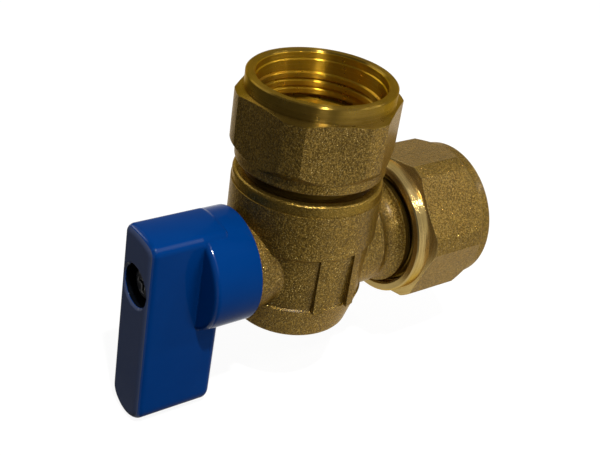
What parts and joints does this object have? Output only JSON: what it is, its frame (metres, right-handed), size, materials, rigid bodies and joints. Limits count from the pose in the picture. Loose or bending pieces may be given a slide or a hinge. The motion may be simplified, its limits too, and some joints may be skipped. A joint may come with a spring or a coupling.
{
  "type": "angle isolating valve",
  "caption": "Brass angle ball valve with a swivel union nut, a compression nut for copper pipe and a blue quarter-turn handle on the stem opposite the outlet.",
  "frame": {"origin": "centre of the union's sealing face, on the inlet axis", "axes": "+Z out of the union's mouth along the inlet, +X along the outlet, handle towards -X"},
  "size_m": [0.0825, 0.035, 0.0733],
  "materials": {
    "forged_brass": "shot-blasted forging with turned faces",
    "turned_brass": "bright turned",
    "chromed_brass": "polished chrome plate",
    "seat_plastic": "moulded white seat plastic",
    "seal_rubber": "moulded",
    "spring_wire": "drawn spring wire",
    "blue_handle": "deep blue gloss",
    "black_screw": "black oxide"
  },
  "bodies": {
    "valve_body": {"valve_body": "forged_brass", "union_tail": "turned_brass", "nut_retaining_ring": "spring_wire", "upper_ball_seat": "seat_plastic", "lower_ball_seat": "seat_plastic", "stem_thrust_washer": "seat_plastic"},
    "union_nut": {"union_nut": "forged_brass"},
    "handle": {"handle": "blue_handle", "handle_screw": "black_screw", "stem": "turned_brass", "stem_o_ring_inner": "seal_rubber", "stem_o_ring_outer": "seal_rubber", "ball": "chromed_brass"},
    "compression_olive": {"compression_olive": "turned_brass"},
    "compression_nut": {"compression_nut": "forged_brass"}
  },
  "joints": [
    {"name": "handle_turn", "type": "hinge", "parent": "valve_body", "child": "handle", "pos_m": [0, 0, -0.0294], "axis": [1, 0, 0], "range_deg": [-2.5, 87.5]},
    {"name": "union_nut_swivel", "type": "hinge", "parent": "valve_body", "child": "union_nut", "pos_m": [0, 0, 0], "axis": [0, 0, 1], "continuous": true},
    {"name": "olive_slide", "type": "slide", "parent": "valve_body", "child": "compression_olive", "axis": [1, 0, 0], "range_m": [0, 0.0109]},
    {"name": "compression_nut_turn", "type": "hinge", "parent": "compression_olive", "child": "compression_nut", "pos_m": [0, 0, -0.0294], "axis": [1, 0, 0], "range_deg": [0, 2160]}
  ],
  "couplings": [
    {"joint": "olive_slide", "follows": "compression_nut_turn", "m_per_rad": 0.00028871}
  ]
}
